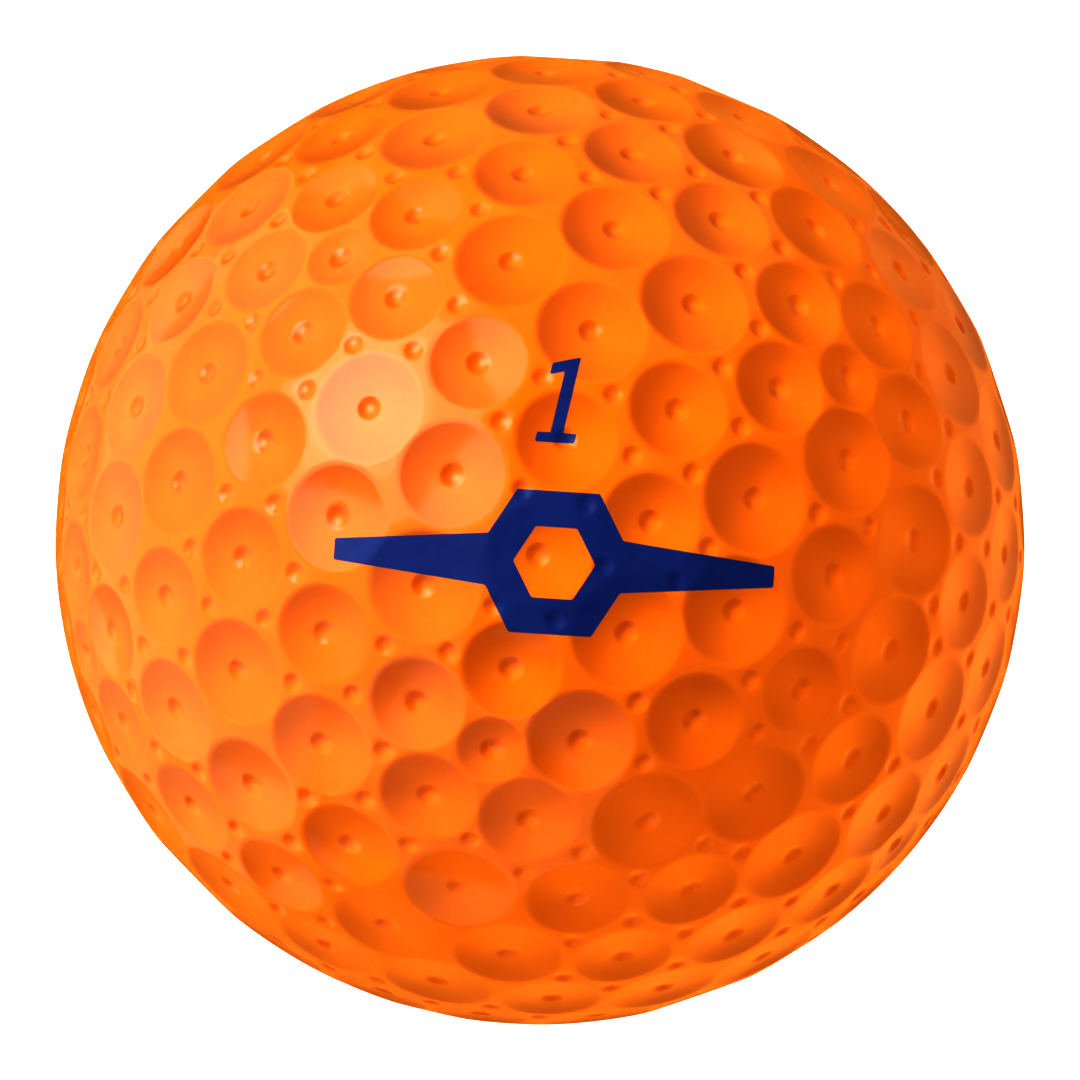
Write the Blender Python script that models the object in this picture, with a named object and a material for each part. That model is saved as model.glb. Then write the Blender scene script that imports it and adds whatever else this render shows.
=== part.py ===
"""A golf ball: a rubber core, a mantle and a dimpled cover, each layer in two half shells, and its prints.

The origin is the ball's centre and +Z is up. The front print faces -Y and the rear one +Y. The half
shells meet in the plane Y = 0. The dimples follow an icosahedron: one at each corner and each face's
centre, and four more families along its faces and edges.
"""

import itertools
import math

import bmesh
import bpy
from mathutils import Matrix, Vector

MM = 0.001

# The layers, from the outside in
BALL_RADIUS = 42.7 * MM / 2
COVER_WALL = 1.6 * MM
MANTLE_WALL = 1.3 * MM
LAYER_GAP = 0.3 * MM
SEAM_GAP = 0.3 * MM
COVER_INSIDE = BALL_RADIUS - COVER_WALL
MANTLE_OUTSIDE = COVER_INSIDE - LAYER_GAP
MANTLE_INSIDE = MANTLE_OUTSIDE - MANTLE_WALL
CORE_RADIUS = MANTLE_INSIDE - LAYER_GAP

# How the dimple pattern is turned: where the middle of one face points, and the spin about it
PATTERN_YAW = math.radians(33.4)
PATTERN_PITCH = math.radians(-17.5)
PATTERN_SPIN = math.radians(11.9)

# Where each family of dimples sits, as an angle seen from the ball's centre
OUTER_STEP = math.radians(10.15)  # from a corner towards a face's centre
INNER_STEP = math.radians(23.7)  # the next one on that line
SIDE_STEP = math.radians(13.6)  # from a face's centre towards the middle of an edge
EDGE_STEP = math.radians(20.8)  # from a corner along an edge

# Rim diameters. The pole faces are the pattern's first face and the one opposite.
CORNER_RIM = 3.0 * MM
CENTRE_RIM = 4.3 * MM
POLE_CENTRE_RIM = 3.8 * MM
OUTER_RIM = 4.2 * MM
POLE_OUTER_RIM = 4.65 * MM
INNER_RIM = 4.3 * MM
SIDE_RIM = 4.7 * MM
POLE_SIDE_RIM = 4.2 * MM
EDGE_RIM = 4.8 * MM
MERIDIAN_EDGE_RIM = 4.6 * MM

DIMPLE_DEPTH = 0.25 * MM
RIM_POINTS = 10
SEAM_SNAP = 0.1 * MM  # a point this near a seam face is moved onto it

# The prints are thin plates just above the cover
PRINT_LIFT = 0.03 * MM
PRINT_THICKNESS = 0.05 * MM
PRINT_TILT = math.radians(-3.7)
PRINT_GRID = 1.2 * MM

# The play number, a 1 with a foot and a flag, before its slant
NUMBER_PLACE = (1.03 * MM, 5.88 * MM)
NUMBER_TOP = 1.9 * MM
NUMBER_FOOT = -1.77 * MM
NUMBER_SLANT = 0.17
STEM_WIDTH = 0.53 * MM
FOOT_WIDTH = 1.67 * MM
FOOT_HEIGHT = 0.41 * MM
FLAG_REACH = 0.6 * MM
FLAG_FALL = 0.31 * MM
FLAG_HEIGHT = 0.48 * MM
FLAG_ROOT = 0.62 * MM

# The pole mark, a hexagon with a hexagonal hole and a tapering bar on each side
MARK_PLACE = (0.6 * MM, -0.97 * MM)
HEXAGON_RADIUS = 3.5 * MM
HOLE_RADIUS = 1.75 * MM
BAR_REACH = 9.35 * MM
BAR_ROOT = 2.2 * MM
BAR_TIP = 0.9 * MM

SPHERE_STEPS = 4


def clear_scene():
    for thing in list(bpy.data.objects):
        bpy.data.objects.remove(thing, do_unlink=True)


def plastic(name, colour, roughness):
    material = bpy.data.materials.new(name)
    material.use_nodes = True
    shader = material.node_tree.nodes["Principled BSDF"]
    shader.inputs["Base Color"].default_value = (*colour, 1)
    shader.inputs["Roughness"].default_value = roughness
    shader.inputs["Metallic"].default_value = 0
    return material


def add_object(name, bm, material):
    """Makes a mesh object of bm, smooth but for its sharp edges, and frees bm."""
    bmesh.ops.recalc_face_normals(bm, faces=bm.faces)
    mesh = bpy.data.meshes.new(name)
    bm.to_mesh(mesh)
    bm.free()
    mesh.materials.append(material)
    mesh.shade_smooth()
    mesh.set_sharp_from_angle(angle=math.radians(50))
    thing = bpy.data.objects.new(name, mesh)
    bpy.context.scene.collection.objects.link(thing)
    return thing


def arc(start, toward, angle):
    """The direction at an angle from start, on the great circle that leads to toward."""
    side = (toward - start * start.dot(toward)).normalized()
    return start * math.cos(angle) + side * math.sin(angle)


def icosahedron():
    """Its corners as directions, its edges and its faces, turned to lie as the pattern does."""
    golden = (1 + math.sqrt(5)) / 2
    corners = []
    for a, b in itertools.product((-1, 1), (-golden, golden)):
        corners += [Vector((0, a, b)), Vector((a, b, 0)), Vector((b, 0, a))]
    corners = [corner.normalized() for corner in corners]
    longest = 1.2  # an edge is 1.05 long and the next distance between corners is 1.70
    edges = [
        pair
        for pair in itertools.combinations(range(len(corners)), 2)
        if (corners[pair[0]] - corners[pair[1]]).length < longest
    ]
    faces = [
        trio
        for trio in itertools.combinations(range(len(corners)), 3)
        if all(pair in edges for pair in itertools.combinations(trio, 2))
    ]

    # The first face is brought to the front with a corner upwards, then spun, tilted and turned.
    back = -middle_of([corners[i] for i in faces[0]])
    up = arc(back, corners[faces[0][0]], math.pi / 2)
    upright = Matrix((back.cross(up), back, up))
    spin = Matrix.Rotation(PATTERN_SPIN, 3, "Y")
    tilt = Matrix.Rotation(-PATTERN_PITCH, 3, "X")
    yaw = Matrix.Rotation(PATTERN_YAW, 3, "Z")
    turn = yaw @ tilt @ spin @ upright
    return [turn @ corner for corner in corners], edges, faces


def middle_of(directions):
    return sum(directions, Vector()).normalized()


def dimples():
    """Every dimple as its direction from the centre and its rim diameter."""
    corners, edges, faces = icosahedron()
    centres = {face: middle_of([corners[i] for i in face]) for face in faces}
    pole = centres[faces[0]]
    pole_faces = [face for face in faces if abs(centres[face].dot(pole)) > 0.999]

    found = [(corner, CORNER_RIM) for corner in corners]
    for face in faces:
        centre = centres[face]
        at_pole = face in pole_faces
        found.append((centre, POLE_CENTRE_RIM if at_pole else CENTRE_RIM))
        for i in face:
            found.append((arc(corners[i], centre, OUTER_STEP), POLE_OUTER_RIM if at_pole else OUTER_RIM))
            found.append((arc(corners[i], centre, INNER_STEP), INNER_RIM))
        for pair in itertools.combinations(face, 2):
            beside_pole = not at_pole and any(set(pair) < set(other) for other in pole_faces)
            edge_middle = middle_of([corners[i] for i in pair])
            found.append((arc(centre, edge_middle, SIDE_STEP), POLE_SIDE_RIM if beside_pole else SIDE_RIM))
    for pair in edges:
        on_meridian = abs(corners[pair[0]].cross(corners[pair[1]]).dot(pole)) < 0.001
        for i, j in (pair, pair[::-1]):
            found.append((arc(corners[i], corners[j], EDGE_STEP), MERIDIAN_EDGE_RIM if on_meridian else EDGE_RIM))
    return found


def snap_to_seam(bm):
    """Moves points that nearly touch a seam face onto it, so that the cut leaves no slivers."""
    for side, vert in itertools.product((-1, 1), bm.verts):
        if abs(vert.co.y - side * SEAM_GAP / 2) < SEAM_SNAP:
            vert.co.y = side * SEAM_GAP / 2


def dimpled_surface():
    """The cover's outside, closed: each dimple is a ring of points with one point sunk in its middle."""
    bm = bmesh.new()
    bottoms = []
    for direction, diameter in dimples():
        rim_angle = diameter / 2 / BALL_RADIUS
        side = direction.orthogonal().normalized()
        for step in range(RIM_POINTS):
            around = Matrix.Rotation(2 * math.pi * step / RIM_POINTS, 3, direction)
            bm.verts.new(arc(direction, around @ side, rim_angle) * BALL_RADIUS)
        bottoms.append(bm.verts.new(direction * BALL_RADIUS))
    snap_to_seam(bm)
    bmesh.ops.convex_hull(bm, input=bm.verts, use_existing_faces=False)
    for bottom in bottoms:
        bottom.co *= 1 - DIMPLE_DEPTH / BALL_RADIUS
    return bm


def smooth_surface(radius):
    bm = bmesh.new()
    bmesh.ops.create_icosphere(bm, subdivisions=SPHERE_STEPS, radius=radius)
    snap_to_seam(bm)
    return bm


def half_shell(name, outside, inside, side, material):
    """The half of a round shell that lies on side of the seam, closed by a flat ring there."""
    bmesh.ops.recalc_face_normals(outside, faces=outside.faces)
    bmesh.ops.recalc_face_normals(inside, faces=inside.faces)
    bmesh.ops.reverse_faces(inside, faces=inside.faces)
    bm = bmesh.new()
    for surface in (outside, inside):
        mesh = bpy.data.meshes.new(name)
        surface.to_mesh(mesh)
        surface.free()
        bm.from_mesh(mesh)
        bpy.data.meshes.remove(mesh)
    bmesh.ops.bisect_plane(
        bm,
        geom=bm.verts[:] + bm.edges[:] + bm.faces[:],
        dist=1e-7,
        plane_co=(0, side * SEAM_GAP / 2, 0),
        plane_no=(0, side, 0),
        clear_inner=True,
    )
    open_edges = [edge for edge in bm.edges if edge.is_boundary]
    bmesh.ops.triangle_fill(bm, edges=open_edges, use_beauty=True)
    bmesh.ops.triangulate(bm, faces=bm.faces)
    return add_object(name, bm, material)


def core(material):
    bm = bmesh.new()
    bmesh.ops.create_icosphere(bm, subdivisions=SPHERE_STEPS, radius=CORE_RADIUS)
    return add_object("core", bm, material)


def number_outline():
    """The play number's outline, from its top right corner round to its stem."""
    half_stem = STEM_WIDTH / 2
    half_foot = FOOT_WIDTH / 2
    foot_top = NUMBER_FOOT + FOOT_HEIGHT
    flag_tip = -half_stem - FLAG_REACH
    outline = [
        (half_stem, NUMBER_TOP),
        (flag_tip, NUMBER_TOP - FLAG_FALL),
        (flag_tip, NUMBER_TOP - FLAG_FALL - FLAG_HEIGHT),
        (-half_stem, NUMBER_TOP - FLAG_ROOT),
        (-half_stem, foot_top),
        (-half_foot, foot_top),
        (-half_foot, NUMBER_FOOT),
        (half_foot, NUMBER_FOOT),
        (half_foot, foot_top),
        (half_stem, foot_top),
    ]
    return [(x + z * NUMBER_SLANT, z) for x, z in outline]


def hexagon(radius):
    """Six points round a hexagon with a point on each side and a flat top."""
    angles = [math.radians(60 * step) for step in range(6)]
    return [(radius * math.cos(angle), radius * math.sin(angle)) for angle in angles]


def mark_outline():
    """The pole mark's outside: a hexagon whose two side points are drawn out into bars."""
    root = HEXAGON_RADIUS - BAR_ROOT / 2 / math.tan(math.radians(60))
    right, upper_right, upper_left, left, lower_left, lower_right = hexagon(HEXAGON_RADIUS)
    return [
        (BAR_REACH, -BAR_TIP / 2),
        (BAR_REACH, BAR_TIP / 2),
        (root, BAR_ROOT / 2),
        upper_right,
        upper_left,
        (-root, BAR_ROOT / 2),
        (-BAR_REACH, BAR_TIP / 2),
        (-BAR_REACH, -BAR_TIP / 2),
        (-root, -BAR_ROOT / 2),
        lower_left,
        lower_right,
        (root, -BAR_ROOT / 2),
    ]


def print_plate(name, outlines, place, rear, material):
    """A plate in the shape of a flat drawing that is pressed straight onto the ball's front or rear.

    outlines are closed loops of (across, up) points, the first the outside and any others holes.
    """
    bm = bmesh.new()
    for outline in outlines:
        points = [bm.verts.new((x, 0, z)) for x, z in outline]
        for start, end in zip(points, points[1:] + points[:1]):
            bm.edges.new((start, end))
    bmesh.ops.triangle_fill(bm, edges=bm.edges, use_beauty=True)
    bmesh.ops.rotate(bm, verts=bm.verts, matrix=Matrix.Rotation(-PRINT_TILT, 3, "Y"))
    bmesh.ops.translate(bm, verts=bm.verts, vec=(place[0], 0, place[1]))

    # A grid of cuts lets the plate follow the ball's curve.
    reach = math.ceil(BALL_RADIUS / 2 / PRINT_GRID)
    for step, normal in itertools.product(range(-reach, reach + 1), ((1, 0, 0), (0, 0, 1))):
        offset = Vector(normal) * (step + 0.5) * PRINT_GRID
        everything = bm.verts[:] + bm.edges[:] + bm.faces[:]
        bmesh.ops.bisect_plane(bm, geom=everything, dist=1e-6, plane_co=offset, plane_no=normal)
    bmesh.ops.triangulate(bm, faces=bm.faces)

    lower = BALL_RADIUS + PRINT_LIFT
    for vert in bm.verts:
        depth = math.sqrt(lower**2 - vert.co.x**2 - vert.co.z**2)
        vert.co.y = -depth
    raised = bmesh.ops.extrude_face_region(bm, geom=bm.faces[:], use_keep_orig=True)
    for vert in raised["geom"]:
        if isinstance(vert, bmesh.types.BMVert):
            vert.co *= 1 + PRINT_THICKNESS / lower
    if rear:
        bmesh.ops.rotate(bm, verts=bm.verts, matrix=Matrix.Rotation(math.pi, 3, "Z"))
    return add_object(name, bm, material)


def main():
    clear_scene()
    cover = plastic("cover_orange", (0.95, 0.16, 0.01), 0.25)
    mantle = plastic("mantle_white", (0.75, 0.74, 0.70), 0.45)
    rubber = plastic("core_rubber", (0.12, 0.22, 0.30), 0.7)
    ink = plastic("print_navy", (0.005, 0.015, 0.19), 0.25)

    core(rubber)
    for place, side in (("front", -1), ("rear", 1)):
        outside = smooth_surface(MANTLE_OUTSIDE)
        half_shell(f"mantle_{place}_half", outside, smooth_surface(MANTLE_INSIDE), side, mantle)
        half_shell(f"cover_{place}_half", dimpled_surface(), smooth_surface(COVER_INSIDE), side, cover)
        rear = side > 0
        print_plate(f"play_number_{place}", [number_outline()], NUMBER_PLACE, rear, ink)
        print_plate(f"pole_mark_{place}", [mark_outline(), hexagon(HOLE_RADIUS)], MARK_PLACE, rear, ink)


main()
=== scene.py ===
"""How the golf ball looks: a dimpled, glossy orange cover with navy prints, on a plain white floor.

The dimple layout repeats the one that the CAD model was made with, so that every dimple of the fine
skin lies in a coarse dimple of the cover it stands for. Lengths are metres, and the front is -Y.
"""

import itertools
import math

import bmesh
import bpy
import numpy as np
from mathutils import Matrix, Vector
from mathutils.geometry import delaunay_2d_cdt


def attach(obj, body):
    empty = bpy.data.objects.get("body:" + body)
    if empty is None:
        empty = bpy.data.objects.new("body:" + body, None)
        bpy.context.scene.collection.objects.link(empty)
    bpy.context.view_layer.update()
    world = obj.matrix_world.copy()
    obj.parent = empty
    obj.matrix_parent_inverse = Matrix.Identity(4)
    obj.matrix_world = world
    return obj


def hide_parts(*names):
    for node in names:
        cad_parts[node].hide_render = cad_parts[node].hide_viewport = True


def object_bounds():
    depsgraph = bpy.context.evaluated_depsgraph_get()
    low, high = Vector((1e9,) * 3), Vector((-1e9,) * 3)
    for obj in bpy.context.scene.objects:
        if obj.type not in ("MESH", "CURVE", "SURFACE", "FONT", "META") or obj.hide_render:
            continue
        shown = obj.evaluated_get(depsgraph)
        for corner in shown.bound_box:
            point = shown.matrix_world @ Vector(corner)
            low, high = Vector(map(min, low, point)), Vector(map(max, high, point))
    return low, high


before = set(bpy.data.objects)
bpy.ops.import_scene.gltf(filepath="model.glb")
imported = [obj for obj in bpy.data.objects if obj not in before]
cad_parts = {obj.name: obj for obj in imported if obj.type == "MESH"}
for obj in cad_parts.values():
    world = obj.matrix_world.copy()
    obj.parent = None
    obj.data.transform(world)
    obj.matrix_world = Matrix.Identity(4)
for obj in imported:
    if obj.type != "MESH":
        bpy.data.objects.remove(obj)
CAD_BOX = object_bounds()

MM = 0.001

# The skins stand for the cover's half shells, and lie a hair inside the CAD model's box
BALL_RADIUS = 42.7 * MM / 2
SKIN_RADIUS = BALL_RADIUS - 0.01 * MM
SKIN_INSIDE = BALL_RADIUS - 1.6 * MM

# The dimple pattern, as in the CAD model
PATTERN_YAW = math.radians(33.4)
PATTERN_PITCH = math.radians(-17.5)
PATTERN_SPIN = math.radians(11.9)
OUTER_STEP = math.radians(10.15)
INNER_STEP = math.radians(23.7)
SIDE_STEP = math.radians(13.6)
EDGE_STEP = math.radians(20.8)
CORNER_RIM = 3.0 * MM
CENTRE_RIM = 4.3 * MM
POLE_CENTRE_RIM = 3.8 * MM
OUTER_RIM = 4.2 * MM
POLE_OUTER_RIM = 4.65 * MM
INNER_RIM = 4.3 * MM
SIDE_RIM = 4.7 * MM
POLE_SIDE_RIM = 4.2 * MM
EDGE_RIM = 4.8 * MM
MERIDIAN_EDGE_RIM = 4.6 * MM

# A dimple is a shallow cup with a rounded rim and a small pit in its middle
CUP_SLOPE = 0.16  # the cup's slope at its rim, against the ball's round
CUP_ROUNDING = 0.16 * MM  # half the width of the rounded rim
PIT_RIM = 1.0 * MM
GAP_PIT_RIM = 0.84 * MM
PIT_SLOPE = 0.55
PIT_ROUNDING = 0.12 * MM
GAP_PIT_CLEARANCE = 0.62 * MM  # a gap has a pit where the rims around it are this far from its middle

# The paint below the clear coat is shaded as if it leaned this many times more than the coat does.
# That gives the strong relief of the look, and isn't a measured property of the paint.
CUP_RELIEF = 7.0
PIT_RELIEF = 2.8

# Spacing of the skin's points
RIM_SPACING = 0.22 * MM
PIT_SPACING = 0.15 * MM
FLOOR_SPACING = 0.31 * MM
LAND_SPACING = 0.42 * MM
INSIDE_SPACING = 1.5 * MM
SEAM_SPACING = 0.2 * MM
SEAM_MARGIN = 0.07 * MM  # other points keep this far from the seam
RIM_MARGIN = 0.05 * MM  # a ring's points are nearer to their own rim than to any other by this
LAND_MARGIN = 0.26 * MM  # points between the hollows keep this far from a rim

# The prints, as in the CAD model
PRINT_TILT = math.radians(-3.7)
PRINT_LIFT = 0.01 * MM
PRINT_SINK = 0.03 * MM
PRINT_SPACING = 0.11 * MM
PRINT_CORNER = 0.09 * MM
NUMBER_PLACE = (1.03 * MM, 5.88 * MM)
NUMBER_TOP = 1.9 * MM
NUMBER_FOOT = -1.77 * MM
NUMBER_SLANT = 0.17
STEM_WIDTH = 0.53 * MM
FOOT_WIDTH = 1.67 * MM
FOOT_HEIGHT = 0.41 * MM
FLAG_REACH = 0.6 * MM
FLAG_FALL = 0.31 * MM
FLAG_HEIGHT = 0.48 * MM
FLAG_ROOT = 0.62 * MM
MARK_PLACE = (0.6 * MM, -0.97 * MM)
HEXAGON_RADIUS = 3.5 * MM
HOLE_RADIUS = 1.75 * MM
BAR_REACH = 9.35 * MM
BAR_ROOT = 2.2 * MM
BAR_TIP = 0.9 * MM


# --- The dimple layout ---


def arc(start, toward, angle):
    """The direction at an angle from start, on the great circle that leads to toward."""
    side = (toward - start * start.dot(toward)).normalized()
    return start * math.cos(angle) + side * math.sin(angle)


def middle_of(directions):
    return sum(directions, Vector()).normalized()


def icosahedron():
    """Its corners as directions, its edges and its faces, turned to lie as the pattern does."""
    golden = (1 + math.sqrt(5)) / 2
    corners = []
    for a, b in itertools.product((-1, 1), (-golden, golden)):
        corners += [Vector((0, a, b)), Vector((a, b, 0)), Vector((b, 0, a))]
    corners = [corner.normalized() for corner in corners]
    longest = 1.2  # an edge is 1.05 long and the next distance between corners is 1.70
    edges = [
        pair
        for pair in itertools.combinations(range(len(corners)), 2)
        if (corners[pair[0]] - corners[pair[1]]).length < longest
    ]
    faces = [
        trio
        for trio in itertools.combinations(range(len(corners)), 3)
        if all(pair in edges for pair in itertools.combinations(trio, 2))
    ]
    back = -middle_of([corners[i] for i in faces[0]])
    up = arc(back, corners[faces[0][0]], math.pi / 2)
    upright = Matrix((back.cross(up), back, up))
    spin = Matrix.Rotation(PATTERN_SPIN, 3, "Y")
    tilt = Matrix.Rotation(-PATTERN_PITCH, 3, "X")
    yaw = Matrix.Rotation(PATTERN_YAW, 3, "Z")
    turn = yaw @ tilt @ spin @ upright
    return [turn @ corner for corner in corners], edges, faces


def dimples():
    """Every dimple as its direction from the centre and its rim diameter."""
    corners, edges, faces = icosahedron()
    centres = {face: middle_of([corners[i] for i in face]) for face in faces}
    pole = centres[faces[0]]
    pole_faces = [face for face in faces if abs(centres[face].dot(pole)) > 0.999]

    found = [(corner, CORNER_RIM) for corner in corners]
    for face in faces:
        centre = centres[face]
        at_pole = face in pole_faces
        outer_rim = POLE_OUTER_RIM if at_pole else OUTER_RIM
        found.append((centre, POLE_CENTRE_RIM if at_pole else CENTRE_RIM))
        for i in face:
            found.append((arc(corners[i], centre, OUTER_STEP), outer_rim))
            found.append((arc(corners[i], centre, INNER_STEP), INNER_RIM))
        for pair in itertools.combinations(face, 2):
            beside_pole = not at_pole and any(set(pair) < set(other) for other in pole_faces)
            side_rim = POLE_SIDE_RIM if beside_pole else SIDE_RIM
            edge_middle = middle_of([corners[i] for i in pair])
            found.append((arc(centre, edge_middle, SIDE_STEP), side_rim))
    for pair in edges:
        on_meridian = abs(corners[pair[0]].cross(corners[pair[1]]).dot(pole)) < 0.001
        edge_rim = MERIDIAN_EDGE_RIM if on_meridian else EDGE_RIM
        for i, j in (pair, pair[::-1]):
            found.append((arc(corners[i], corners[j], EDGE_STEP), edge_rim))
    return found


def gap_pits(cups):
    """The directions of the pits between the dimples.

    A gap's middle is the point that is equally far from the rims of the three dimples around it.
    """
    bm = bmesh.new()
    for number, (direction, _) in enumerate(cups):
        bm.verts.new(direction).index = number
    bmesh.ops.convex_hull(bm, input=bm.verts)
    trios = [[vert.index for vert in face.verts] for face in bm.faces]
    bm.free()

    found = []
    for trio in trios:
        directions = np.array([cups[i][0] for i in trio])
        rims = np.array([cups[i][1] / 2 for i in trio])
        middle = directions.sum(axis=0)
        middle /= np.linalg.norm(middle)
        for _ in range(8):
            cosines = directions @ middle
            clearances = np.arccos(cosines) * BALL_RADIUS - rims
            away = middle * cosines[:, None] - directions
            away /= np.linalg.norm(away, axis=1)[:, None]
            slopes = away[1:] - away[0]
            unevenness = (clearances[0] - clearances[1:]) / BALL_RADIUS
            middle = middle + np.linalg.lstsq(slopes, unevenness, rcond=None)[0]
            middle /= np.linalg.norm(middle)
        if clearances.mean() > GAP_PIT_CLEARANCE:
            found.append(Vector(middle))
    return found


CUPS = dimples()
GAP_PITS = gap_pits(CUPS)
PITS = [(direction, PIT_RIM) for direction, _ in CUPS]
PITS += [(direction, GAP_PIT_RIM) for direction in GAP_PITS]


# --- The skin as a height and a normal for every direction ---


def hollow(distance, rim, slope, rounding):
    """The depth and the slope of a round hollow, at distances from its middle."""
    raw = slope * (rim**2 - distance**2) / (2 * rim)
    raw_slope = -slope * distance / rim
    blend = slope * rounding
    share = np.clip((raw + blend) / (2 * blend), 0, 1)
    depth = np.where(raw > blend, raw, blend * share**2)
    return depth, raw_slope * share


def skin(directions):
    """The skin's points in these directions, an array with one unit row for each, and its normals.

    The third array has the normals of the paint below the clear coat.
    """
    depths = np.zeros(len(directions))
    coat = directions.copy()
    paint = directions.copy()
    hollows = [(*cup, CUP_SLOPE, CUP_ROUNDING, CUP_RELIEF) for cup in CUPS]
    hollows += [(*pit, PIT_SLOPE, PIT_ROUNDING, PIT_RELIEF) for pit in PITS]
    for middle, diameter, slope, rounding, relief in hollows:
        middle = np.array(middle)
        rim = diameter / 2
        cosines = directions @ middle
        near = np.flatnonzero(cosines > math.cos((rim + rounding * 1.2) / BALL_RADIUS))
        cosines = np.clip(cosines[near], -1, 1)
        depth, fall = hollow(np.arccos(cosines) * BALL_RADIUS, rim, slope, rounding)
        away = directions[near] * cosines[:, None] - middle
        away /= np.maximum(np.linalg.norm(away, axis=1), 1e-9)[:, None]
        depths[near] += depth
        coat[near] += away * fall[:, None]
        paint[near] += away * fall[:, None] * relief
    coat /= np.linalg.norm(coat, axis=1)[:, None]
    paint /= np.linalg.norm(paint, axis=1)[:, None]
    return directions * (SKIN_RADIUS - depths)[:, None], coat, paint


# --- Where the skin has points: rings round every dimple and pit, and a few between them ---


def rings(middle, radii, spacings):
    """Points in rings round a direction. Radii and spacings are lengths on the ball."""
    middle = Vector(middle)
    across = middle.orthogonal().normalized()
    along = middle.cross(across)
    found = [np.array([middle])]
    for radius, spacing in zip(radii, spacings):
        count = math.ceil(2 * math.pi * radius / spacing)
        turns = np.arange(count)[:, None] * 2 * math.pi / count
        side = np.cos(turns) * np.array(across) + np.sin(turns) * np.array(along)
        angle = radius / BALL_RADIUS
        found.append(math.cos(angle) * np.array(middle) + math.sin(angle) * side)
    return np.concatenate(found)


def pit_radii(diameter):
    return [share * diameter / 2 for share in (0.28, 0.55, 0.8, 1.0, 1.2)]


def cup_points(middle, diameter):
    rim = diameter / 2
    edges = [rim + CUP_ROUNDING * share for share in (-1.3, -0.6, 0, 0.6, 1.2)]
    inner = PIT_RIM / 2 * 1.55
    floor_count = max(2, round((edges[0] - inner) / FLOOR_SPACING))
    floor = list(np.linspace(inner, edges[0], floor_count, endpoint=False))
    pit = pit_radii(PIT_RIM)
    radii = pit + floor + edges
    spacings = [PIT_SPACING] * len(pit) + [FLOOR_SPACING] * len(floor) + [RIM_SPACING] * len(edges)
    return rings(middle, radii, spacings)


def even_directions(spacing):
    """Directions spread evenly in a spiral over the ball."""
    count = int(4 * math.pi * BALL_RADIUS**2 / (spacing**2 * math.sqrt(3) / 2))
    heights = 1 - (2 * np.arange(count) + 1) / count
    turns = np.arange(count) * math.pi * (3 - math.sqrt(5))
    around = np.sqrt(1 - heights**2)
    return np.stack([around * np.cos(turns), around * np.sin(turns), heights], axis=1)


def clearance(directions, middles, rims):
    """How far each direction lies outside the nearest rim, as a length on the ball."""
    nearest = np.full(len(directions), np.inf)
    for middle, rim in zip(middles, rims):
        distance = np.arccos(np.clip(directions @ np.array(middle), -1, 1)) * BALL_RADIUS - rim
        nearest = np.minimum(nearest, distance)
    return nearest


def skin_directions():
    """The directions of all of the skin's points but those on the seam."""
    middles = [direction for direction, _ in CUPS]
    rims = [diameter / 2 for _, diameter in CUPS]
    found = []
    for number, (middle, diameter) in enumerate(CUPS):
        points = cup_points(middle, diameter)
        own = np.arccos(np.clip(points @ np.array(middle), -1, 1)) * BALL_RADIUS - rims[number]
        # Outside its own rim, a ring stops where a neighbour's rim is nearer.
        others = [i for i in range(len(CUPS)) if i != number and middles[i].dot(middle) > 0.9]
        nearest = clearance(points, [middles[i] for i in others], [rims[i] for i in others])
        found.append(points[nearest > own + RIM_MARGIN])
    gap_radii = pit_radii(GAP_PIT_RIM)
    for middle in GAP_PITS:
        found.append(rings(middle, gap_radii, [PIT_SPACING] * len(gap_radii)))
    land = even_directions(LAND_SPACING)
    all_rims = rims + [GAP_PIT_RIM / 2] * len(GAP_PITS)
    found.append(land[clearance(land, middles + GAP_PITS, all_rims) > LAND_MARGIN])
    return np.concatenate(found)


# --- Meshes ---


def half_ball(directions, seam, side):
    """Joins directions on one side of the seam into triangles.

    Seen from the far pole the ball's half is a flat disc in which the best triangles are the same.
    Returns the directions used, those of the seam first, and the triangles.
    """
    off_seam = directions[directions[:, 1] * side > SEAM_MARGIN / BALL_RADIUS]
    used = np.concatenate([seam, off_seam])
    flat = used[:, (0, 2)] / (1 + used[:, 1] * side)[:, None]
    points = [Vector(point) for point in flat.tolist()]
    triangles = delaunay_2d_cdt(points, [], [], 0, 1e-9, False)[2]
    return used, np.array(triangles)


def seam_directions():
    count = round(2 * math.pi * BALL_RADIUS / SEAM_SPACING)
    turns = np.arange(count) * 2 * math.pi / count
    return np.stack([np.cos(turns), np.zeros(count), np.sin(turns)], axis=1)


def facing(points, triangles, outwards):
    """The triangles, each turned so that it faces outwards from the origin, or inwards."""
    a, b, c = (points[triangles[:, i]] for i in range(3))
    outward = np.einsum("ij,ij->i", np.cross(b - a, c - a), a) > 0
    turned = triangles[:, ::-1]
    return np.where((outward == outwards)[:, None], triangles, turned)


def add_piece(name, points, triangles, material):
    mesh = bpy.data.meshes.new(name)
    mesh.from_pydata(points.tolist(), [], triangles.tolist())
    mesh.shade_smooth()
    mesh.materials.append(material)
    piece = bpy.data.objects.new(name, mesh)
    bpy.context.scene.collection.objects.link(piece)
    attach(piece, "root")
    return piece


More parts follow.
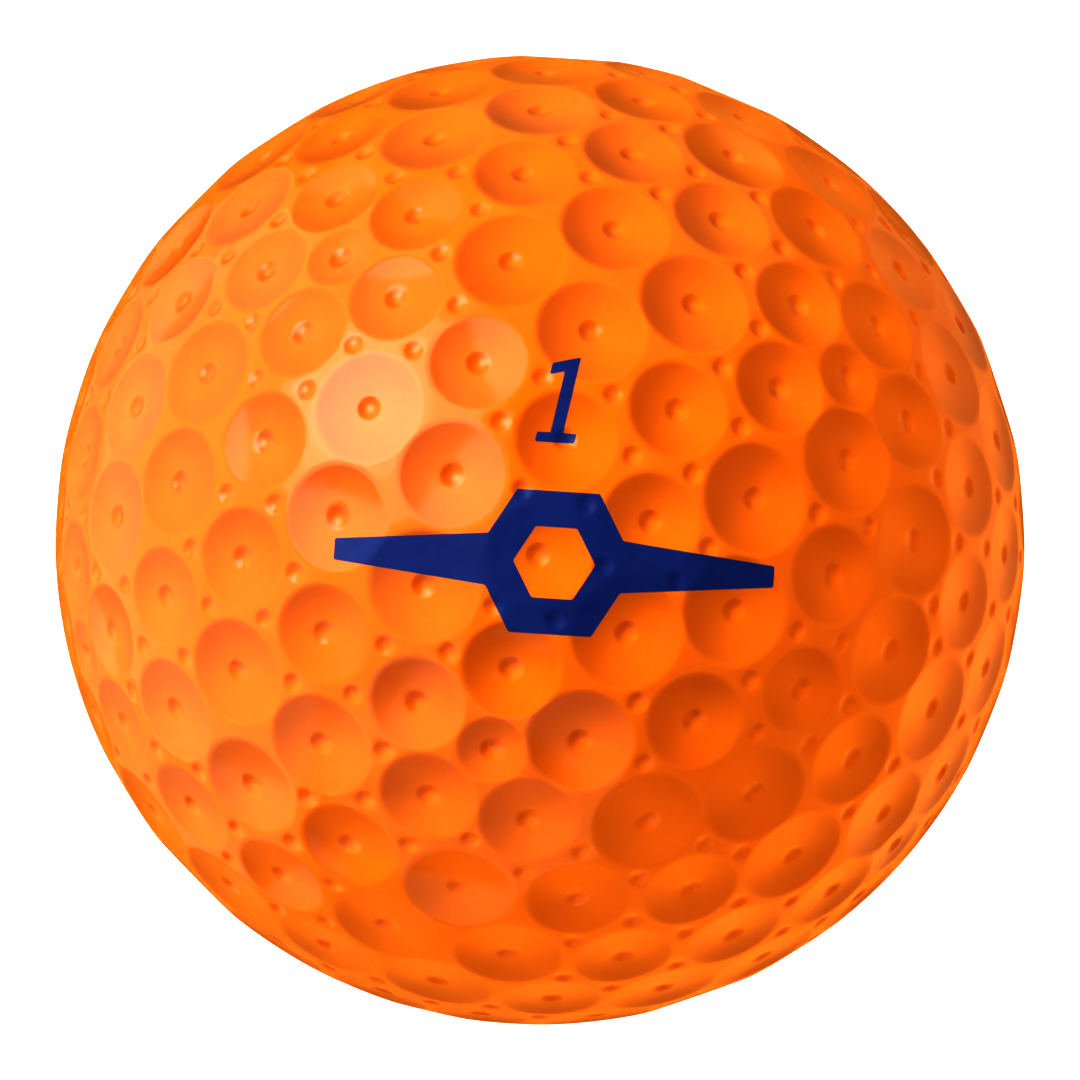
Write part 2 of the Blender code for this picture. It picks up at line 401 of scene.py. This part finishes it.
def half_skin(name, node, directions, side, material):
    """One half of the cover: the dimpled outside, a smooth inside and a flat ring that joins them.

    The side is -1 at the front and 1 at the rear.
    """
    seam = seam_directions()
    out_directions, out_triangles = half_ball(directions, seam, side)
    in_directions, in_triangles = half_ball(even_directions(INSIDE_SPACING), seam, side)
    out_points, out_normals, paint_normals = skin(out_directions)
    out_triangles = facing(out_points, out_triangles, True)
    in_points = in_directions * SKIN_INSIDE
    in_triangles = facing(in_points, in_triangles, False) + len(out_points)

    here = np.arange(len(seam))
    after = np.roll(here, -1)
    first = np.stack([here, after, after + len(out_points)], axis=1)
    second = np.stack([here, after + len(out_points), here + len(out_points)], axis=1)
    ring = np.concatenate([first, second])
    if side < 0:
        ring = ring[:, ::-1]
    points = np.concatenate([out_points, in_points])
    triangles = np.concatenate([out_triangles, in_triangles, ring])

    # The outside and the inside have their own exact normals up to the seam, and the ring is flat.
    ring_normals = np.tile([0.0, -side, 0.0], (3 * len(ring), 1))
    normals = np.concatenate([
        out_normals[out_triangles].reshape(-1, 3),
        -in_directions[in_triangles - len(out_points)].reshape(-1, 3),
        ring_normals,
    ])
    piece = add_piece(name, points, triangles, material)
    piece.data.normals_split_custom_set(normals.tolist())
    paint = piece.data.attributes.new("paint_normal", "FLOAT_VECTOR", "POINT")
    paint.data.foreach_set("vector", np.concatenate([paint_normals, -in_directions]).ravel())
    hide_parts(node)


# --- The prints ---


def number_outline():
    """The play number's outline, from its top right corner round to its stem."""
    half_stem = STEM_WIDTH / 2
    half_foot = FOOT_WIDTH / 2
    foot_top = NUMBER_FOOT + FOOT_HEIGHT
    flag_tip = -half_stem - FLAG_REACH
    outline = [
        (half_stem, NUMBER_TOP),
        (flag_tip, NUMBER_TOP - FLAG_FALL),
        (flag_tip, NUMBER_TOP - FLAG_FALL - FLAG_HEIGHT),
        (-half_stem, NUMBER_TOP - FLAG_ROOT),
        (-half_stem, foot_top),
        (-half_foot, foot_top),
        (-half_foot, NUMBER_FOOT),
        (half_foot, NUMBER_FOOT),
        (half_foot, foot_top),
        (half_stem, foot_top),
    ]
    return [(x + z * NUMBER_SLANT, z) for x, z in outline]


def hexagon(radius):
    """Six points round a hexagon with a point on each side and a flat top."""
    angles = [math.radians(60 * step) for step in range(6)]
    return [(radius * math.cos(angle), radius * math.sin(angle)) for angle in angles]


def mark_outline():
    """The pole mark's outside: a hexagon whose two side points are drawn out into bars."""
    root = HEXAGON_RADIUS - BAR_ROOT / 2 / math.tan(math.radians(60))
    _, upper_right, upper_left, _, lower_left, lower_right = hexagon(HEXAGON_RADIUS)
    return [
        (BAR_REACH, -BAR_TIP / 2),
        (BAR_REACH, BAR_TIP / 2),
        (root, BAR_ROOT / 2),
        upper_right,
        upper_left,
        (-root, BAR_ROOT / 2),
        (-BAR_REACH, BAR_TIP / 2),
        (-BAR_REACH, -BAR_TIP / 2),
        (-root, -BAR_ROOT / 2),
        lower_left,
        lower_right,
        (root, -BAR_ROOT / 2),
    ]


def rounded(outline, radius):
    """The outline with each corner rounded, as an array of points at the print's spacing."""
    corners = np.array(outline)
    found = []
    for before, corner, after in zip(np.roll(corners, 1, axis=0), corners, np.roll(corners, -1, axis=0)):
        length_before = np.linalg.norm(before - corner)
        length_after = np.linalg.norm(after - corner)
        reach = min(radius, length_before / 2.2, length_after / 2.2)
        start = corner + (before - corner) / length_before * reach
        end = corner + (after - corner) / length_after * reach
        for share in np.linspace(0, 1, 6):
            found.append(start * (1 - share) ** 2 + 2 * corner * share * (1 - share) + end * share**2)
    dense = []
    for start, end in zip(found, np.roll(found, -1, axis=0)):
        count = max(1, round(np.linalg.norm(end - start) / PRINT_SPACING))
        dense += [start + (end - start) * step / count for step in range(count)]
    return np.array(dense)


def inside(points, loops):
    """Which of the points lie inside the outer loop and outside any hole."""
    crossings = np.zeros(len(points), int)
    for loop in loops:
        for (ax, az), (bx, bz) in zip(loop, np.roll(loop, -1, axis=0)):
            spans = (points[:, 1] > az) != (points[:, 1] > bz)
            if az != bz:
                level = ax + (points[:, 1] - az) * (bx - ax) / (bz - az)
                crossings += spans & (points[:, 0] < level)
    return crossings % 2 == 1


def pressed(flat, sign, lift):
    """Points of a flat drawing pressed straight onto the skin at the front or the rear, and normals."""
    directions = np.stack([flat[:, 0], np.full(len(flat), sign * BALL_RADIUS), flat[:, 1]], axis=1)
    depth = np.full(len(flat), SKIN_RADIUS)
    for _ in range(5):
        directions[:, 1] = sign * np.sqrt(depth**2 - flat[:, 0] ** 2 - flat[:, 1] ** 2)
        unit = directions / np.linalg.norm(directions, axis=1)[:, None]
        points, normals, _ = skin(unit)
        depth = np.linalg.norm(points, axis=1)
    return points + normals * lift, normals


def print_piece(name, node, outlines, place, side, material):
    """A thin layer of ink that follows the skin, with soft corners and edges that go down into it."""
    loops = [rounded(outline, PRINT_CORNER) for outline in outlines]
    low = loops[0].min(axis=0)
    high = loops[0].max(axis=0)
    row, column = np.mgrid[low[1]:high[1]:PRINT_SPACING, low[0]:high[0]:PRINT_SPACING]
    grid = np.stack([column.ravel(), row.ravel()], axis=1)
    grid = grid[inside(grid, loops)]
    outline_points = np.concatenate(loops)
    gaps = np.linalg.norm(grid[:, None] - outline_points[None], axis=2).min(axis=1)
    flat = np.concatenate([outline_points, grid[gaps > 0.45 * PRINT_SPACING]])

    edges = []
    first = 0
    for loop in loops:
        edges += [(first + i, first + (i + 1) % len(loop)) for i in range(len(loop))]
        first += len(loop)
    triangles = delaunay_2d_cdt([Vector(p) for p in flat.tolist()], edges, [], 0, 1e-9, False)[2]
    triangles = np.array(triangles)
    triangles = triangles[inside(flat[triangles].mean(axis=1), loops)]

    turn = np.array(Matrix.Rotation(PRINT_TILT, 2))
    flat = flat @ turn.T + np.array(place)
    if side > 0:
        flat = flat * np.array([-1, 1])
    top, normals = pressed(flat, side, PRINT_LIFT)
    triangles = facing(top, triangles, True)
    count = len(top)
    bottom = top - normals * PRINT_SINK
    walls = []
    for start, end in edges:
        walls += [(start, end, end + count), (start, end + count, start + count)]
    bottom_triangles = triangles[:, ::-1] + count
    faces = np.concatenate([triangles, bottom_triangles, np.array(walls)])
    piece = add_piece(name, np.concatenate([top, bottom]), faces, material)

    bm = bmesh.new()
    bm.from_mesh(piece.data)
    bmesh.ops.recalc_face_normals(bm, faces=bm.faces)
    bm.to_mesh(piece.data)
    bm.free()
    # The ink's top shines as the skin below it does; zero leaves the other normals as they are.
    corner_verts = np.zeros(len(piece.data.loops), int)
    piece.data.loops.foreach_get("vertex_index", corner_verts)
    top_corners = 3 * len(triangles)
    loop_normals = np.zeros((len(corner_verts), 3))
    loop_normals[:top_corners] = normals[corner_verts[:top_corners]]
    piece.data.normals_split_custom_set(loop_normals.tolist())
    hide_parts(node)


# --- Materials ---


def new_material(name):
    material = bpy.data.materials.new(name)
    material.use_nodes = True
    nodes = material.node_tree.nodes
    return material, nodes, material.node_tree.links, nodes["Principled BSDF"]


def noise(nodes, links, scale, detail=3.0, roughness=0.5):
    """A noise pattern in the object's own space. The scale is in features per metre."""
    place = nodes.new("ShaderNodeTexCoord")
    pattern = nodes.new("ShaderNodeTexNoise")
    pattern.inputs["Scale"].default_value = scale
    pattern.inputs["Detail"].default_value = detail
    pattern.inputs["Roughness"].default_value = roughness
    links.new(place.outputs["Object"], pattern.inputs["Vector"])
    return pattern.outputs["Fac"]


def ramp(nodes, links, value, stops):
    """A colour ramp fed by value, with (position, colour) stops."""
    node = nodes.new("ShaderNodeValToRGB")
    elements = node.color_ramp.elements
    while len(elements) < len(stops):
        elements.new(0.5)
    for element, (position, colour) in zip(elements, stops):
        element.position = position
        element.color = (*colour, 1)
    links.new(value, node.inputs["Fac"])
    return node.outputs["Color"]


def spread(nodes, links, value, low, high, start=0.0):
    """Maps value, from start to 1, onto low to high."""
    node = nodes.new("ShaderNodeMapRange")
    node.inputs["From Min"].default_value = start
    node.inputs["To Min"].default_value = low
    node.inputs["To Max"].default_value = high
    links.new(value, node.inputs["Value"])
    return node.outputs["Result"]


def paint_normal(nodes, links):
    """The exaggerated normal that the paint under the clear coat is shaded with."""
    stored = nodes.new("ShaderNodeAttribute")
    stored.attribute_name = "paint_normal"
    turned = nodes.new("ShaderNodeVectorTransform")
    turned.vector_type = "NORMAL"
    turned.convert_from = "OBJECT"
    turned.convert_to = "WORLD"
    links.new(stored.outputs["Vector"], turned.inputs["Vector"])
    return turned.outputs["Vector"]


def bump(nodes, links, height, distance, strength=1.0, below=None):
    """A bump this many metres high, on the normal below it if there is one."""
    node = nodes.new("ShaderNodeBump")
    if below:
        links.new(below, node.inputs["Normal"])
    node.inputs["Strength"].default_value = strength
    node.inputs["Distance"].default_value = distance
    links.new(height, node.inputs["Height"])
    return node.outputs["Normal"]


def cover_material():
    """Glossy orange ionomer under a clear coat, with faint pigment clouds and a very fine grain."""
    material, nodes, links, shader = new_material("orange_cover")
    clouds = noise(nodes, links, 260, 4)
    colour = ramp(nodes, links, clouds, [(0.3, (0.96, 0.190, 0.006)), (0.7, (0.98, 0.208, 0.011))])
    links.new(colour, shader.inputs["Base Color"])
    links.new(spread(nodes, links, noise(nodes, links, 1500, 2), 0.4, 0.5), shader.inputs["Roughness"])
    paint = paint_normal(nodes, links)
    grain = bump(nodes, links, noise(nodes, links, 1100, 3), 0.004 * MM, 0.6, paint)
    links.new(grain, shader.inputs["Normal"])
    ripple = bump(nodes, links, noise(nodes, links, 700, 2), 0.002 * MM, 0.5)
    links.new(ripple, shader.inputs["Coat Normal"])
    # The coat's gloss fades where the surface is seen edge-on, and the orange sheen takes over.
    grazing = nodes.new("ShaderNodeLayerWeight")
    fade = spread(nodes, links, grazing.outputs["Facing"], 1.0, 0.2, 0.6)
    links.new(fade, shader.inputs["Coat Weight"])
    shader.inputs["Coat Roughness"].default_value = 0.07
    shader.inputs["Coat IOR"].default_value = 1.5
    shader.inputs["Sheen Weight"].default_value = 0.35
    shader.inputs["Sheen Roughness"].default_value = 0.45
    shader.inputs["Sheen Tint"].default_value = (1.0, 0.34, 0.05, 1)
    shader.inputs["Subsurface Weight"].default_value = 0.25
    shader.inputs["Subsurface Radius"].default_value = (1.0, 0.12, 0.03)
    shader.inputs["Subsurface Scale"].default_value = 1.6 * MM
    shader.inputs["Specular IOR Level"].default_value = 0.0
    return material


def ink_material():
    """Satin navy pad-printing ink, a little thinner in places."""
    material, nodes, links, shader = new_material("navy_ink")
    thinness = noise(nodes, links, 900, 5, 0.6)
    colour = ramp(nodes, links, thinness, [(0.35, (0.010, 0.026, 0.14)), (0.75, (0.014, 0.034, 0.17))])
    links.new(colour, shader.inputs["Base Color"])
    links.new(spread(nodes, links, noise(nodes, links, 2500, 2), 0.3, 0.5), shader.inputs["Roughness"])
    links.new(bump(nodes, links, noise(nodes, links, 1800, 3), 0.003 * MM, 0.5), shader.inputs["Normal"])
    shader.inputs["Specular IOR Level"].default_value = 0.25
    return material


def mantle_material():
    """A matte, slightly creamy moulded resin."""
    material, nodes, links, shader = new_material("mantle_resin")
    clouds = noise(nodes, links, 180, 4)
    colour = ramp(nodes, links, clouds, [(0.3, (0.70, 0.68, 0.61)), (0.7, (0.80, 0.79, 0.74))])
    links.new(colour, shader.inputs["Base Color"])
    links.new(spread(nodes, links, noise(nodes, links, 900, 3), 0.4, 0.55), shader.inputs["Roughness"])
    links.new(bump(nodes, links, noise(nodes, links, 1400, 4), 0.01 * MM), shader.inputs["Normal"])
    return material


def core_material():
    """Dull blue-grey rubber with a fine grain and pale flecks of filler."""
    material, nodes, links, shader = new_material("core_rubber")
    flecks = noise(nodes, links, 1300, 6, 0.7)
    stops = [(0.4, (0.09, 0.17, 0.25)), (0.62, (0.14, 0.25, 0.34)), (0.8, (0.4, 0.5, 0.55))]
    colour = ramp(nodes, links, flecks, stops)
    links.new(colour, shader.inputs["Base Color"])
    links.new(spread(nodes, links, flecks, 0.6, 0.8), shader.inputs["Roughness"])
    links.new(bump(nodes, links, noise(nodes, links, 2200, 4), 0.02 * MM), shader.inputs["Normal"])
    return material


def floor_material():
    """A plain white floor, mostly lit from within so that it runs into the white background."""
    material, nodes, links, shader = new_material("studio_floor")
    shader.inputs["Base Color"].default_value = (0.1, 0.1, 0.1, 1)
    shader.inputs["Roughness"].default_value = 0.8
    shader.inputs["Specular IOR Level"].default_value = 0.0
    shader.inputs["Emission Color"].default_value = (1, 1, 1, 1)
    shader.inputs["Emission Strength"].default_value = 1.0
    return material


# --- The studio ---


def aim(thing, target):
    thing.rotation_mode = "QUATERNION"
    thing.rotation_quaternion = (Vector(target) - thing.location).to_track_quat("-Z", "Y")


def direction_of(azimuth, elevation):
    """The way from the ball to something seen from the camera: azimuth is to the right."""
    a = math.radians(azimuth)
    e = math.radians(elevation)
    return Vector((math.sin(a) * math.cos(e), -math.cos(a) * math.cos(e), math.sin(e)))


def softbox(name, azimuth, elevation, radius, distance, radiance, kind):
    """A round soft light that faces the ball. Its radius is the angle that the ball sees it under.

    A mirrored one shows only in the gloss, and a diffuse one only lights the paint.
    """
    light = bpy.data.lights.new(name, "AREA")
    light.shape = "DISK"
    light.size = 2 * distance * math.tan(math.radians(radius))
    light.energy = radiance * math.pi * math.pi * (light.size / 2) ** 2
    holder = bpy.data.objects.new(name, light)
    bpy.context.scene.collection.objects.link(holder)
    holder.location = direction_of(azimuth, elevation) * distance
    aim(holder, (0, 0, 0))
    holder.visible_camera = False
    holder.visible_glossy = kind == "mirrored"
    holder.visible_diffuse = kind == "diffuse"


def studio():
    scene = bpy.context.scene
    scene.view_settings.view_transform = "Standard"
    scene.view_settings.look = "Very High Contrast"

    world = bpy.data.worlds.new("white_studio")
    scene.world = world
    world.use_nodes = True
    nodes = world.node_tree.nodes
    links = world.node_tree.links
    # The background is white to the camera, and dim to the ball.
    ray = nodes.new("ShaderNodeLightPath")
    levels = nodes.new("ShaderNodeMath")
    levels.operation = "MULTIPLY_ADD"
    levels.inputs[1].default_value = 0.02
    levels.inputs[2].default_value = 0.06
    links.new(ray.outputs["Is Diffuse Ray"], levels.inputs[0])
    shade = nodes.new("ShaderNodeMath")
    shade.operation = "MAXIMUM"
    links.new(levels.outputs[0], shade.inputs[0])
    links.new(ray.outputs["Is Camera Ray"], shade.inputs[1])
    links.new(shade.outputs[0], nodes["Background"].inputs["Strength"])
    nodes["Background"].inputs["Color"].default_value = (1, 1, 1, 1)

    bm = bmesh.new()
    bmesh.ops.create_grid(bm, x_segments=1, y_segments=1, size=3)
    mesh = bpy.data.meshes.new("floor")
    bm.to_mesh(mesh)
    bm.free()
    mesh.materials.append(floor_material())
    floor = bpy.data.objects.new("floor", mesh)
    scene.collection.objects.link(floor)
    floor.location.z = CAD_BOX[0].z
    floor.visible_diffuse = False
    floor.visible_glossy = False
    floor.visible_shadow = False

    softbox("key", -47, 28, 12, 0.6, 1.0, "mirrored")
    softbox("key_spill", -47, 28, 17, 0.62, 0.9, "mirrored")
    softbox("key_halo", -43, 27, 25, 0.64, 1.2, "mirrored")
    softbox("left_sheen", -70, 10, 60, 0.7, 0.38, "mirrored")
    softbox("low_sheen", -30, -60, 30, 0.7, 0.3, "mirrored")
    softbox("high_sheen", 0, 85, 45, 0.7, 0.15, "mirrored")
    softbox("left_edge", -105, 2, 52, 0.7, 0.25, "mirrored")
    softbox("right_edge", 135, 0, 30, 0.7, 0.1, "mirrored")
    softbox("key_flood", -50, 33, 18, 0.62, 7.9, "diffuse")
    softbox("left_fill", -100, 20, 18, 0.62, 1.2, "diffuse")
    softbox("front_fill", -20, 10, 18, 0.62, 2.4, "diffuse")
    softbox("front_right_fill", 40, 0, 18, 0.62, 1.2, "diffuse")
    softbox("right_fill", 90, 0, 18, 0.62, 1.2, "diffuse")
    softbox("high_right_fill", 90, 50, 18, 0.62, 1.1, "diffuse")
    softbox("low_fill", 5, -38, 18, 0.62, 1.1, "diffuse")
    softbox("right_rim", 130, 0, 18, 0.62, 4.2, "diffuse")
    softbox("low_right_rim", 140, -45, 18, 0.62, 6.2, "diffuse")
    softbox("low_left_rim", -120, -50, 18, 0.62, 4.6, "diffuse")
    softbox("back_fill", 180, 0, 18, 0.62, 3.5, "diffuse")

    camera = bpy.data.objects.new("camera", bpy.data.cameras.new("camera"))
    scene.collection.objects.link(camera)
    camera.data.lens = 404
    camera.location = (0, -0.534, 0)
    aim(camera, (0, 0, 0))
    camera.data.clip_end = 10
    scene.camera = camera


# --- Everything together ---


cover = cover_material()
ink = ink_material()
skin_points = skin_directions()
for place, side in (("front", -1), ("rear", 1)):
    half_skin(f"cover_skin_{place}", f"cover_{place}_half", skin_points, side, cover)
    number = [number_outline()]
    print_piece(f"number_ink_{place}", f"play_number_{place}", number, NUMBER_PLACE, side, ink)
    mark = [mark_outline(), hexagon(HOLE_RADIUS)]
    print_piece(f"mark_ink_{place}", f"pole_mark_{place}", mark, MARK_PLACE, side, ink)

rubber = core_material()
resin = mantle_material()
for node, material in (("core", rubber), ("mantle_front_half", resin), ("mantle_rear_half", resin)):
    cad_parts[node].data.materials.clear()
    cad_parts[node].data.materials.append(material)

studio()
